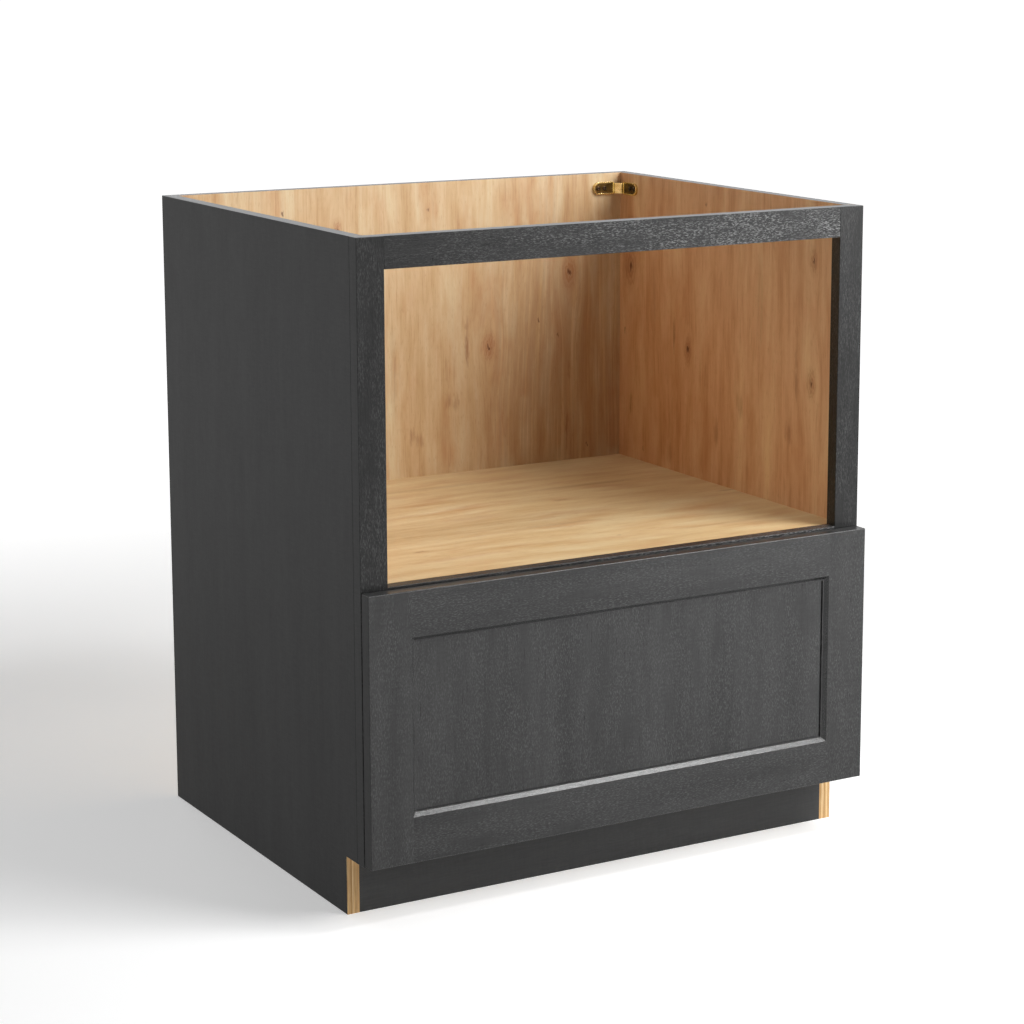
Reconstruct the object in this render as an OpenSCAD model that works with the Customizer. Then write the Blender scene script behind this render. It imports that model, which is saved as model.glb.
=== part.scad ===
// Face-frame base cabinet for a microwave: an open niche above one wide drawer.
// Millimetres. Origin at the middle of the footprint, on the floor.
// +X to the right, +Y to the wall, +Z up. The drawer opens towards -Y.

/* [Cabinet] */
// Overall width
cab_w = 762; // [600:1:914]
// Height of the rim, without a worktop
cab_h = 876.3; // [700:0.1:960]
// Depth from the wall to the front of the face frame
cab_d = 609.6; // [480:0.1:760]
// Thickness of the sides, back, floors and toe board
panel_t = 18; // [15:0.5:20]
// Depth of the grooves that hold the floors and the back
dado_d = 6; // [4:0.5:9]
// Height of the niche floor's top
niche_floor_z = 437.5; // [330:0.5:520]

/* [Toe space] */
// Height of the toe space
toe_h = 78; // [50:1:115]
// Depth of the toe space behind the face frame's front
toe_d = 51; // [35:1:90]

/* [Face frame] */
// Thickness of the face frame
frame_t = 19; // [16:0.5:25]
// Width of the stiles
stile_w = 38.1; // [32:0.1:50]
// Width of the top rail
top_rail_w = 41; // [36:0.5:60]
// Width of the middle rail
mid_rail_w = 38; // [32:0.5:50]
// Width of the bottom rail
bottom_rail_w = 38; // [32:0.5:50]
// Diameter of the dowels in the frame's joints
dowel_d = 8; // [6:0.5:10]
// Length of the dowels
dowel_l = 40; // [30:1:50]

/* [Drawer front] */
// Thickness of the drawer front
front_t = 19; // [18:0.5:22]
// Width of the flat face of its stiles and rails
front_flat_w = 60; // [45:0.5:75]
// Width and depth of the bevel round the panel
front_bevel = 5; // [3:0.5:5]
// Width of the small ledge inside the bevel
front_ledge = 1.6; // [1:0.1:3]
// Depth of the panel's face below the frame's face
panel_recess = 7; // [6:0.5:8]
// Depth of the groove that holds the panel
panel_groove = 10; // [6:0.5:12]
// Thickness of the tongue in that groove
panel_tongue = 6; // [4:0.5:8]
// Gap from the front's side to the cabinet's side
front_side_reveal = 0.5; // [0.2:0.1:12]
// Gap from the front's top to the niche floor's level
front_top_reveal = 3; // [1:0.5:10]
// Gap from the front's bottom to the toe space
front_bottom_reveal = 2.5; // [1:0.5:10]
// Thickness of the bumpers behind the drawer front
bumper_t = 1; // [0.5:0.1:2]
// Diameter of the bumpers
bumper_d = 9; // [6:0.5:12]

/* [Drawer box] */
// Gap from the drawer box up to the middle rail
box_top_gap = 15.5; // [6:0.5:120]
// Thickness of its sides, front and back
box_t = 16; // [14:0.5:19]
// Gap from the box to the opening at each side
box_gap = 5; // [4:0.5:8]
// Height of the box above the bottom rail
box_lift = 14; // [13:0.5:18]
// Thickness of the box bottom
box_bottom_t = 6.5; // [5:0.5:7]
// Height of the bottom's underside above the box's lower edge
box_recess = 13; // [12:0.5:16]
// Depth of the groove for the bottom
box_groove = 6; // [4:0.5:8]
// Number of dovetails at each corner
tail_count = 8; // [4:1:12]
// Widest part of each tail
tail_w = 20; // [10:0.5:20]
// How much a tail narrows at each side
tail_slope = 2.5; // [1:0.5:4]

/* [Slides] */
// Space between the slides' rear ends and the back panel
slide_rear_space = 55.6; // [20:0.1:120]
// How much of the slides' length the travel leaves
slide_hold = 23; // [20:1:200]
// Thickness of the slides' steel
sheet_t = 1.5; // [1:0.1:1.8]
// Height of the slide above the bottom rail
slide_lift = 2; // [1:0.5:4]
// Outer width of the cabinet member's inner rail
rail_w = 10; // [8:0.5:12]
// Sideways play of each member over the one inside it
slide_play = 3; // [1.5:0.1:4]
// Height of the lower rollers
lower_roller_h = 4.5; // [3:0.1:6]
// Number of rollers in each set
roller_count = 12; // [6:1:16]

/* [Fittings] */
// Leg length of the corner brackets
bracket_leg = 50; // [40:1:60]
// Height of the corner brackets
bracket_h = 19; // [16:0.5:24]
// Depth of the pressed rim round each leg
bracket_rim_d = 4; // [2.5:0.5:6]
// Distance from the rim of the cabinet down to the brackets
bracket_drop = 13.5; // [8:0.5:18]
// Shank diameter of the wood screws
screw_d = 4; // [3:0.5:5]
// Swing of the release levers in degrees
lever_swing = 12; // [6:1:15]

/* [Hidden] */
$fn = 48;

// Clearances
fit = 0.05;         // radial clearance round dowels, screws and pins
run_gap = 0.3;      // running clearance of the rollers and the hooks
groove_gap = 0.3;   // room for panels to move in their grooves

// Depth planes
total_d = cab_d + bumper_t + front_t;
front_y = -total_d / 2;                  // face of the drawer front
front_back_y = front_y + front_t;        // back of the drawer front
frame_y = front_back_y + bumper_t;       // front of the face frame
frame_back_y = frame_y + frame_t;
wall_y = total_d / 2;                    // back of the cabinet
inner_back_y = wall_y - panel_t;         // face of the back panel inside
toe_y = frame_y + toe_d;                 // face of the toe board

// Widths and heights
half_w = cab_w / 2;
inner_x = half_w - panel_t;              // inside face of a side panel
open_x = half_w - stile_w;               // edge of the frame's openings
open_z0 = toe_h + bottom_rail_w;         // drawer opening's lower edge
open_z1 = niche_floor_z - mid_rail_w;    // drawer opening's upper edge
niche_top_z = cab_h - top_rail_w;

// Drawer front
df_x = half_w - front_side_reveal;
df_z0 = toe_h + front_bottom_reveal;
df_z1 = niche_floor_z - front_top_reveal;
member_w = front_flat_w + front_bevel + front_ledge;

// Slides' length, travel and setback
slide_set_back = 3;                      // front end behind the frame's front
slide_l = cab_d - panel_t - slide_set_back - slide_rear_space;
slide_travel = slide_l - slide_hold;

// Drawer box
box_x = open_x - box_gap;
box_in_x = box_x - box_t;
box_y0 = front_back_y;
box_y1 = box_y0 + slide_l;
box_z0 = open_z0 + box_lift;
box_z1 = open_z1 - box_top_gap;
box_h = box_z1 - box_z0;
box_floor_z = box_z0 + box_recess;       // underside of the box bottom

// Slides, from the inner rail out
rail_top_clear = 1.5;                    // rail top below the box's lower edge
leg_clear = 1.5;                         // leg ends and notches
rail_half = rail_w / 2;
mid_half = rail_half + slide_play + sheet_t;
drw_half = mid_half + slide_play / 2 + sheet_t;
slide_x = box_in_x - leg_clear - drw_half;
base_z = open_z0 + slide_lift;
rail_top_z = box_z0 - rail_top_clear;
mid_top_z = rail_top_z + lower_roller_h + sheet_t;
flange_h = 19;                           // cabinet member's flange at the stile
cab_y0 = frame_y + slide_set_back;
cab_y1 = cab_y0 + slide_l;
mid_y0 = box_y0 + box_t + 3;
mid_y1 = box_y1 - 1.2;
hook_y = box_y1 + run_gap;               // drawer member's end tab, behind the box
cage_end = 5;                            // from a set of rollers to the member's end
cage_l = hook_y - mid_y0 - slide_travel / 2 - 3 * cage_end;  // still in place when open
tab_clear = 1;                           // tab above the middle member
tab_over = 6;                            // tab above the hook pin
hook_lift = 11;                          // hook pin above the box bottom's underside
hook_r = 2.8;
hook_l = 9;
hook_hole_r = hook_r + 0.2;

// Rear brackets
arm_t = 4;
arm_l = 42;                              // how far the arm reaches under the slide
plate_t = 5;
plate_h = 58;
lip_t = 2;
lip_h = 6;

// Screws
screw_r = screw_d / 2;
head_r = screw_d;
head_h = 2.4;
stile_screw_l = 14;
plate_screw_l = 18;
front_screw_l = box_t + 9;
clip_screw_l = 5;
bracket_screw_l = 13;

// Release clips, measured inboard from the drawer member
clip_l = 46;
clip_screws_y = [8, 22];                 // screws behind the box front
clip_t = 3;
pivot_in = 15;                           // pivot from the drawer member's leg
pivot_back = 36;                         // pivot behind the box front
pivot_r = 2;
pivot_head_r = 4;
lever_t = 5;
lever_ring_r = 5;
nose_w = 6;
nose_back = 9;                           // nose behind the box front
nose_reach = 2.5;                        // nose through the leg
nose_swing_room = 2.5;                   // room before the nose in its slot
arm_w = 6;
grip_h = 9;
lever_room = pivot_back * sin(lever_swing);          // sideways room for the lever's swing
clip_screw_in = pivot_in + arm_w / 2 + lever_room + head_r + 0.5;
clip_w = clip_screw_in + head_r + 1;
clip_x = slide_x - drw_half;             // outer face of the drawer member's inner leg
lever_z1 = box_floor_z - clip_t - 0.6;
lever_z0 = lever_z1 - lever_t;

// Corner brackets
bracket_z0 = cab_h - bracket_drop - bracket_h;
plate_bt = 1.2;                          // thickness of the pressed sheet
rim_w = 2.2;                             // width of the rim
bridge_out = 14;                         // where the bridge leaves the wall
bridge_chamfer = 7;
bridge_t = 1.6;
bridge_h = bracket_h - 3;
bracket_holes = [bracket_leg - bracket_h / 2 - 11, bracket_leg - bracket_h / 2];
bracket_screw_r = 1.75;
bracket_head_r = 3.3;
bracket_head_h = 1.8;

// A box from its lowest corner to its highest corner
module block(a, b) { translate(a) cube(b - a); }

// Puts a shape made for the right side on the given side
module on_side(side) { mirror([side < 0 ? 1 : 0, 0, 0]) children(); }

// A pan-head wood screw whose head sits at the origin and whose shank points along +Z
module wood_screw(l, r, hr, hh) {
    cylinder(r = r, h = l - r * 1.5);
    translate([0, 0, l - r * 1.5]) cylinder(r1 = r, r2 = 0.4, h = r * 1.5);
    translate([0, 0, -hh]) cylinder(r1 = hr * 0.75, r2 = hr, h = hh * 0.4);
    translate([0, 0, -hh * 0.6]) cylinder(r = hr, h = hh * 0.6);
}

// The pilot hole for such a screw
module pilot(l, r) { translate([0, 0, -0.01]) cylinder(r = r + fit, h = l + 0.5); }

// ---- Carcass ----

// Side panel: toe notch at the front, grooves inside for the floors and the back
module side_panel(side) {
    color("#3c3c3d") on_side(side) difference() {
        block([inner_x, frame_back_y, 0], [half_w, wall_y, cab_h]);
        block([inner_x - 1, frame_back_y - 1, -1], [half_w + 1, toe_y, toe_h]);
        block([inner_x - 1, frame_back_y - 1, niche_floor_z - panel_t],
            [inner_x + dado_d, inner_back_y, niche_floor_z]);
        block([inner_x - 1, frame_back_y - 1, toe_h],
            [inner_x + dado_d, inner_back_y, toe_h + panel_t]);
        block([inner_x - 1, inner_back_y, -1], [inner_x + dado_d, wall_y + 1, cab_h + 1]);
        for (back = [false, true]) bracket_leg_places(back, true)
            pilot(bracket_screw_l, bracket_screw_r);
    }
}
module left_side_panel() side_panel(-1);
module right_side_panel() side_panel(1);

module back_panel() {
    color("#c9a274") difference() {
        block([-inner_x - dado_d, inner_back_y, 0], [inner_x + dado_d, wall_y, cab_h]);
        for (side = [-1, 1]) on_side(side) {
            bracket_leg_places(true, false) pilot(bracket_screw_l, bracket_screw_r);
            rear_bracket_places() pilot(plate_screw_l, screw_r);
        }
    }
}

// A floor between the sides, held in their grooves
module floor_board(z_top) {
    color("#d2ad78") block([-inner_x - dado_d, frame_back_y, z_top - panel_t],
        [inner_x + dado_d, inner_back_y, z_top]);
}
module niche_floor() floor_board(niche_floor_z);
module bottom_panel() floor_board(toe_h + panel_t);

module toe_board() {
    color("#39393a") block([-inner_x, toe_y, 0], [inner_x, toe_y + panel_t, toe_h]);
}

// ---- Face frame ----

// The two dowels of each joint, along X, at the height of each rail
rail_spans = [[toe_h, open_z0], [open_z1, niche_floor_z], [niche_top_z, cab_h]];
module dowel_places(span) {
    for (k = [0.25, 0.75])
        translate([open_x - dowel_l / 2, frame_y + frame_t / 2, span[0] + k * (span[1] - span[0])])
            rotate([0, 90, 0]) children();
}
module dowel_holes(span) {
    for (side = [-1, 1]) on_side(side) dowel_places(span)
        translate([0, 0, -1]) cylinder(r = dowel_d / 2 + fit, h = dowel_l + 2);
}

module frame_stile(side) {
    color("#404041") on_side(side) difference() {
        block([open_x, frame_y, toe_h], [half_w, frame_back_y, cab_h]);
        for (span = rail_spans) dowel_places(span)
            translate([0, 0, -1]) cylinder(r = dowel_d / 2 + fit, h = dowel_l + 2);
        stile_screw_places() pilot(stile_screw_l, screw_r);
        bracket_leg_places(false, false) pilot(bracket_screw_l, bracket_screw_r);
    }
}
module frame_left_stile() frame_stile(-1);
module frame_right_stile() frame_stile(1);

module frame_rail(span) {
    color("#414142") difference() {
        block([-open_x, frame_y, span[0]], [open_x, frame_back_y, span[1]]);
        dowel_holes(span);
        for (side = [-1, 1]) on_side(side)
            bracket_leg_places(false, false) pilot(bracket_screw_l, bracket_screw_r);
    }
}
module frame_bottom_rail() frame_rail(rail_spans[0]);
module frame_middle_rail() frame_rail(rail_spans[1]);
module frame_top_rail() frame_rail(rail_spans[2]);

module frame_dowels() {
    color("#d8bd93") for (side = [-1, 1]) on_side(side) for (span = rail_spans)
        dowel_places(span) cylinder(r = dowel_d / 2, h = dowel_l);
}

// ---- Corner brackets ----

// Screw places of a bracket leg, right side: on the side panel, or on the back or the frame
module bracket_leg_places(back, on_panel) {
    corner_y = back ? inner_back_y : frame_back_y;
    into = back ? -1 : 1;
    for (h = bracket_holes)
        if (on_panel)
            translate([inner_x, corner_y + into * h, bracket_z0 + bracket_h / 2])
                rotate([0, 90, 0]) children();
        else
            translate([inner_x - h, corner_y, bracket_z0 + bracket_h / 2])
                rotate([into * 90, 0, 0]) children();
}

// Outline of a leg, round at its outer end
module leg_outline(shrink) {
    translate([bracket_leg - bracket_h / 2, bracket_h / 2]) circle(r = bracket_h / 2 - shrink);
    translate([bridge_out + shrink, shrink])
        square([bracket_leg - bracket_h / 2 - bridge_out - shrink, bracket_h - 2 * shrink]);
}

// One leg, flat on the plane Y = 0 and running along +X
module bracket_leg_shape() {
    rotate([90, 0, 0]) mirror([0, 0, 1]) difference() {
        linear_extrude(bracket_rim_d) leg_outline(0);
        translate([0, 0, plate_bt]) linear_extrude(bracket_rim_d) leg_outline(rim_w);
        for (h = bracket_holes) translate([h, bracket_h / 2, -1])
            cylinder(r = bracket_screw_r + 0.3, h = plate_bt + 2);
    }
}

// Bridge across the corner, between the two legs
module bracket_bridge() {
    a = bridge_out;
    c = bridge_chamfer;
    t = bridge_t;
    q = t * (sqrt(2) - 1);
    translate([0, 0, (bracket_h - bridge_h) / 2]) linear_extrude(bridge_h)
        polygon([[a + 0.5, 0], [a + 0.5, a - c], [a - c, a + 0.5], [0, a + 0.5], [0, a + 0.5 - t],
            [a - c - q, a + 0.5 - t], [a + 0.5 - t, a - c - q], [a + 0.5 - t, 0]]);
}

// Bracket in a corner of the right side, mirrored for the left
module corner_bracket(side, back) {
    color("#a37a2c") on_side(side)
        translate([inner_x, back ? inner_back_y : frame_back_y, bracket_z0])
            mirror([1, 0, 0]) mirror([0, back ? 1 : 0, 0]) {
                bracket_leg_shape();
                mirror([1, -1, 0]) bracket_leg_shape();
                bracket_bridge();
            }
}
module front_left_bracket() corner_bracket(-1, false);
module front_right_bracket() corner_bracket(1, false);
module back_left_bracket() corner_bracket(-1, true);
module back_right_bracket() corner_bracket(1, true);

module bracket_screws() {
    color("#4a4238") for (side = [-1, 1]) on_side(side)
        for (back = [false, true]) for (on_panel = [false, true])
            bracket_leg_places(back, on_panel) translate([0, 0, -plate_bt])
                wood_screw(bracket_screw_l, bracket_screw_r, bracket_head_r, bracket_head_h);
}

// ---- Drawer front ----

// Section of a stile or rail: distance from its outer edge, depth from its face
front_section = [[0, 0], [front_flat_w, 0], [front_flat_w + front_bevel, front_bevel],
    [member_w, front_bevel], [member_w, panel_recess],
    [member_w - panel_groove, panel_recess],
    [member_w - panel_groove, panel_recess + panel_tongue],
    [member_w, panel_recess + panel_tongue], [member_w, front_t], [0, front_t]];

module drawer_stile(side) {
    on_side(side) translate([df_x, front_y, df_z0]) mirror([1, 0, 0])
        linear_extrude(df_z1 - df_z0) polygon(front_section);
}

// Rail with its ends shaped over the stiles, and a tongue in their grooves
module drawer_rail() {
    tongue_x = df_x - member_w + panel_groove - groove_gap;
    difference() {
        translate([-tongue_x, front_y, 0]) rotate([90, 0, 90])
            linear_extrude(2 * tongue_x) polygon([for (p = front_section) [p[1], p[0]]]);
        for (side = [-1, 1]) stile_end(side);
    }
}

// A length of stile at the origin's height, which shapes a rail's end
module stile_end(side) {
    on_side(side) translate([df_x, front_y, -1]) mirror([1, 0, 0])
        linear_extrude(member_w + 2) polygon(front_section);
}

module drawer_left_stile() color("#474748") drawer_stile(-1);
module drawer_right_stile() color("#474748") drawer_stile(1);
module drawer_bottom_rail() color("#474748") translate([0, 0, df_z0]) drawer_rail();
module drawer_top_rail() color("#474748") translate([0, 0, df_z1]) mirror([0, 0, 1]) drawer_rail();

// Panel: its back is flush with the frame's back, its edge is a tongue
module drawer_panel() {
    in_x = df_x - member_w;
    in_z0 = df_z0 + member_w;
    in_z1 = df_z1 - member_w;
    reach = panel_groove - groove_gap;
    color("#464647") difference() {
        union() {
            block([-in_x + groove_gap, front_y + panel_recess, in_z0 + groove_gap],
                [in_x - groove_gap, front_back_y, in_z1 - groove_gap]);
            block([-in_x - reach, front_y + panel_recess, in_z0 - reach],
                [in_x + reach, front_y + panel_recess + panel_tongue, in_z1 + reach]);
        }
        front_screw_places() pilot(front_screw_l, screw_r);
    }
}

bumper_in = 15;                          // from the front's edge to a bumper's middle
module drawer_bumpers() {
    color("#d9d9d4") for (side = [-1, 1]) for (z = [df_z0 + bumper_in, df_z1 - bumper_in])
        translate([side * (open_x + stile_w / 2), front_back_y, z])
            rotate([-90, 0, 0]) cylinder(r = bumper_d / 2, h = bumper_t);
}

// Screws from inside the box into the drawer front
module front_screw_places() {
    for (x = [-1, 0, 1]) for (k = [0.25, 0.75])
        translate([x * box_in_x * 0.75, box_y0 + box_t, box_floor_z + k * (box_z1 - box_floor_z)])
            rotate([90, 0, 0]) children();
}
module drawer_front_screws() {
    color("#8d8d8a") front_screw_places() wood_screw(front_screw_l, screw_r, head_r, head_h);
}

// ---- Drawer box ----

// Dovetails of one corner of a side, with the wide end at y_end; the lowest is flush below
module tails(y_end, y_root) {
    pitch = box_h / tail_count;
    for (k = [0 : tail_count - 1]) {
        wide = min(tail_w, pitch - 4) / 2;
        z = box_z0 + wide + k * pitch;
        low_slope = k == 0 ? 0 : tail_slope;
        rotate([90, 0, 90]) linear_extrude(box_x) polygon([[y_end, z - wide], [y_end, z + wide],
            [y_root, z + wide - tail_slope], [y_root, z - wide + low_slope]]);
    }
}

module box_floor_space(gap) {
    x = box_in_x + box_groove - groove_gap + gap;
    block([-x, box_y0 + box_t - box_groove + groove_gap - gap, box_floor_z],
        [x, box_y1 - box_t + box_groove - groove_gap + gap, box_floor_z + box_bottom_t]);
}

module box_side(side) {
    color("#d6b887") difference() {
        on_side(side) {
            block([box_in_x, box_y0 + box_t, box_z0], [box_x, box_y1 - box_t, box_z1]);
            intersection() {
                block([box_in_x, box_y0, box_z0], [box_x, box_y1, box_z1]);
                union() {
                    tails(box_y0, box_y0 + box_t);
                    tails(box_y1, box_y1 - box_t);
                }
            }
        }
        box_floor_space(groove_gap);
    }
}
module box_left_side() box_side(-1);
module box_right_side() box_side(1);

// Front or back of the box: a full board less the sides' tails
module box_end(y0, y_end, y_root) {
    difference() {
        block([-box_x, y0, box_z0], [box_x, y0 + box_t, box_z1]);
        for (side = [-1, 1]) on_side(side) intersection() {
            tails(y_end, y_root);
            block([box_in_x, y0 - 1, box_z0], [box_x + 1, y0 + box_t + 1, box_z1]);
        }
        box_floor_space(groove_gap);
    }
}

module box_front() {
    color("#d6b887") difference() {
        box_end(box_y0, box_y0, box_y0 + box_t);
        front_screw_places() pilot(front_screw_l, screw_r);
    }
}

// Back of the box: notched over the slides, with a hole for each hook
module box_back() {
    color("#d6b887") difference() {
        box_end(box_y1 - box_t, box_y1, box_y1 - box_t);
        for (side = [-1, 1]) on_side(side) {
            block([slide_x - drw_half - leg_clear, box_y1 - box_t - 1, box_z0 - 1],
                [box_in_x, box_y1 + 1, box_floor_z]);
            translate([slide_x, box_y1 + 1, box_floor_z + hook_lift]) rotate([90, 0, 0])
                cylinder(r = hook_hole_r, h = hook_l + 2);
        }
    }
}

module box_bottom() {
    color("#dcc394") difference() {
        box_floor_space(0);
        for (side = [-1, 1]) on_side(side) clip_screw_places() pilot(clip_screw_l, screw_r);
    }
}

// ---- Slides: a fixed member, a middle member on rollers, and the drawer's member ----

// Upturned channel of sheet steel
module channel(half, z0, z1, y0, y1) {
    difference() {
        block([slide_x - half, y0, z0], [slide_x + half, y1, z1]);
        block([slide_x - half + sheet_t, y0 - 1, z0 - 1],
            [slide_x + half - sheet_t, y1 + 1, z1 - sheet_t]);
    }
}

// Screws through the cabinet member's flange into the stile
module stile_screw_places() {
    for (k = [0.35, 0.75])
        translate([open_x, frame_y + frame_t / 2, base_z + k * flange_h])
            rotate([0, 90, 0]) children();
}

module cabinet_member(side) {
    color("#b4b6b8") on_side(side) difference() {
        union() {
            block([slide_x - drw_half - leg_clear, cab_y0, base_z], [open_x, cab_y1, base_z + sheet_t]);
            block([open_x - sheet_t, cab_y0, base_z], [open_x, cab_y1, base_z + flange_h]);
            channel(rail_half, base_z, rail_top_z, cab_y0, cab_y1);
        }
        stile_screw_places() translate([0, 0, -sheet_t - 1])
            cylinder(r = screw_r + fit, h = sheet_t + 2);
    }
}
module left_cabinet_member() cabinet_member(-1);
module right_cabinet_member() cabinet_member(1);

module middle_member(side) {
    color("#a9abad") on_side(side)
        channel(mid_half, base_z + sheet_t + leg_clear, mid_top_z, mid_y0, mid_y1);
}
module left_middle_member() middle_member(-1);
module right_middle_member() middle_member(1);

// A set of rollers in its cage: z0 and z1 are the lowest and highest points of the rollers
module roller_cage(half, z0, z1, y0) {
    r = (z1 - z0) / 2;
    pitch = cage_l / roller_count;
    block([slide_x - half, y0, z0 + r * 0.5], [slide_x + half, y0 + cage_l, z1 - r * 0.5]);
    for (k = [0 : roller_count - 1])
        translate([slide_x - half + 1, y0 + (k + 0.5) * pitch, z0 + r])
            rotate([0, 90, 0]) cylinder(r = r, h = 2 * half - 2);
}
module roller_cages(side) {
    color("#e8e6df") on_side(side) {
        roller_cage(mid_half - sheet_t - 2, rail_top_z + run_gap, mid_top_z - sheet_t,
            mid_y1 - cage_l - cage_end);
        roller_cage(mid_half - 0.5, mid_top_z, box_floor_z - sheet_t - run_gap, mid_y0 + cage_end);
    }
}
module left_roller_cages() roller_cages(-1);
module right_roller_cages() roller_cages(1);

// Drawer member under the box bottom, with an end tab and a hook pin into the box back
module drawer_member(side) {
    color("#b9bbbd") on_side(side) difference() {
        union() {
            channel(drw_half, base_z + sheet_t + leg_clear, box_floor_z, mid_y0, hook_y + sheet_t);
            block([slide_x - drw_half, hook_y, mid_top_z + tab_clear],
                [slide_x + drw_half, hook_y + sheet_t, box_floor_z + hook_lift + tab_over]);
            translate([slide_x, hook_y + 0.5, box_floor_z + hook_lift]) rotate([90, 0, 0])
                cylinder(r = hook_r, h = hook_l + 0.5);
        }
        block([clip_x - 1, box_y0 + box_t + nose_back - nose_w / 2 - nose_swing_room, lever_z0 - 0.6],
            [clip_x + sheet_t + 1, box_y0 + box_t + nose_back + nose_w / 2 + 1, lever_z1 + 0.6]);
    }
}
module left_drawer_member() drawer_member(-1);
module right_drawer_member() drawer_member(1);

// Screws that hold a rear bracket to the back panel
module rear_bracket_places() {
    for (k = [0.45, 0.82])
        translate([slide_x, inner_back_y, base_z - arm_t + k * plate_h]) rotate([-90, 0, 0]) children();
}

// Rear bracket: a cradle under the slide's end and a plate on the back panel
module rear_bracket(side) {
    x0 = slide_x - drw_half - leg_clear;
    z0 = base_z - arm_t;
    y0 = cab_y1 - arm_l;
    color("#d4d4d0") on_side(side) difference() {
        union() {
            block([x0 - lip_t, y0, z0], [open_x + lip_t, inner_back_y, base_z]);
            block([x0 - lip_t, y0, z0], [x0, inner_back_y, base_z + lip_h]);
            block([open_x, y0, z0], [open_x + lip_t, inner_back_y, base_z + flange_h]);
            block([x0 - lip_t, inner_back_y - plate_t, z0], [open_x + lip_t, inner_back_y, z0 + plate_h]);
        }
        rear_bracket_places() translate([0, 0, -plate_t - 1])
            cylinder(r = screw_r + fit, h = plate_t + 2);
    }
}
module left_rear_bracket() rear_bracket(-1);
module right_rear_bracket() rear_bracket(1);

module slide_screws() {
    color("#8d8d8a") for (side = [-1, 1]) on_side(side) {
        stile_screw_places() translate([0, 0, -sheet_t])
            wood_screw(stile_screw_l, screw_r, head_r - 0.5, head_h - 0.8);
        rear_bracket_places() translate([0, 0, -plate_t])
            wood_screw(plate_screw_l, screw_r, head_r, head_h);
    }
}

// ---- Release clips at the front of the drawer members ----

module clip_screw_places() {
    for (y = clip_screws_y)
        translate([clip_x - clip_screw_in, box_y0 + box_t + y, box_floor_z]) children();
}

// Plate under the box bottom, with the lever's pivot pin
module clip_plate(side) {
    x1 = clip_x - 0.5;
    y0 = box_y0 + box_t;
    color("#5d6064") on_side(side) {
        difference() {
            block([x1 - clip_w, y0, box_floor_z - clip_t], [x1, y0 + clip_l, box_floor_z]);
            clip_screw_places() translate([0, 0, -clip_t - 1])
                cylinder(r = screw_r + fit, h = clip_t + 2);
        }
        translate([clip_x - pivot_in, y0 + pivot_back, lever_z0 - 0.4])
            cylinder(r = pivot_r, h = box_floor_z - clip_t - lever_z0 + 0.5);
        translate([clip_x - pivot_in, y0 + pivot_back, lever_z0 - 2])
            cylinder(r = pivot_head_r, h = 1.7);
    }
}
module left_clip_plate() clip_plate(-1);
module right_clip_plate() clip_plate(1);

// Lever: a ring on the pivot, an arm, a nose through the drawer member's leg, and a grip
module release_lever(side) {
    px = clip_x - pivot_in;
    y0 = box_y0 + box_t;
    py = y0 + pivot_back;
    ny = y0 + nose_back;
    color("#d77a2b") on_side(side) difference() {
        union() {
            translate([px, py, lever_z0]) cylinder(r = lever_ring_r, h = lever_t);
            block([px - arm_w / 2, ny - nose_w / 2, lever_z0], [px + arm_w / 2, py, lever_z1]);
            block([px, ny - nose_w / 2, lever_z0], [clip_x + nose_reach, ny + nose_w / 2, lever_z1]);
            block([px - arm_w / 2, y0 + 2, lever_z1 - grip_h],
                [px + arm_w / 2, ny + nose_w, lever_z1]);
        }
        translate([px, py, lever_z0 - 1]) cylinder(r = pivot_r + fit, h = lever_t + 2);
    }
}
module left_release_lever() release_lever(-1);
module right_release_lever() release_lever(1);

module clip_screws() {
    color("#8d8d8a") for (side = [-1, 1]) on_side(side) clip_screw_places()
        translate([0, 0, -clip_t]) wood_screw(clip_t + clip_screw_l, screw_r, head_r, head_h);
}

left_side_panel();
right_side_panel();
back_panel();
niche_floor();
bottom_panel();
toe_board();
frame_left_stile();
frame_right_stile();
frame_top_rail();
frame_middle_rail();
frame_bottom_rail();
frame_dowels();
front_left_bracket();
front_right_bracket();
back_left_bracket();
back_right_bracket();
bracket_screws();
drawer_left_stile();
drawer_right_stile();
drawer_top_rail();
drawer_bottom_rail();
drawer_panel();
drawer_bumpers();
box_left_side();
box_right_side();
box_front();
box_back();
box_bottom();
drawer_front_screws();
left_cabinet_member();
right_cabinet_member();
left_middle_member();
right_middle_member();
left_roller_cages();
right_roller_cages();
left_drawer_member();
right_drawer_member();
left_rear_bracket();
right_rear_bracket();
slide_screws();
left_clip_plate();
right_clip_plate();
left_release_lever();
right_release_lever();
clip_screws();
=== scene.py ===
# Microwave base cabinet with one wide drawer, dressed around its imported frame.
# Metres: +X right, +Y towards the wall, +Z up, origin on the floor under the middle.
import math
import random
import bpy
from mathutils import Matrix, Vector


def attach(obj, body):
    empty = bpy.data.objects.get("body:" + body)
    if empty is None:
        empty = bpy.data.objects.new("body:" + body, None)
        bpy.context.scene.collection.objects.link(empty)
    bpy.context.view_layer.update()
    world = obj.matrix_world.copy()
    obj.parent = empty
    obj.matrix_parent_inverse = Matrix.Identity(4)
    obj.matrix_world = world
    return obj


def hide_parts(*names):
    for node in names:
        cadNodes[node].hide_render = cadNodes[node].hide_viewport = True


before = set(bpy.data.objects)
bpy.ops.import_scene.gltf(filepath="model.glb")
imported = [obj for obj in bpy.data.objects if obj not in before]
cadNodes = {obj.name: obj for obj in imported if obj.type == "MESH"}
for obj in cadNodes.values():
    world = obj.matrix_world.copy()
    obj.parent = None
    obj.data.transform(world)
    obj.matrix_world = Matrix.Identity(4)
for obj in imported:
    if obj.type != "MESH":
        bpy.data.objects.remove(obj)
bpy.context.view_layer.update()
mm = 0.001
print("frame loaded,", len(cadNodes), "nodes")

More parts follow.
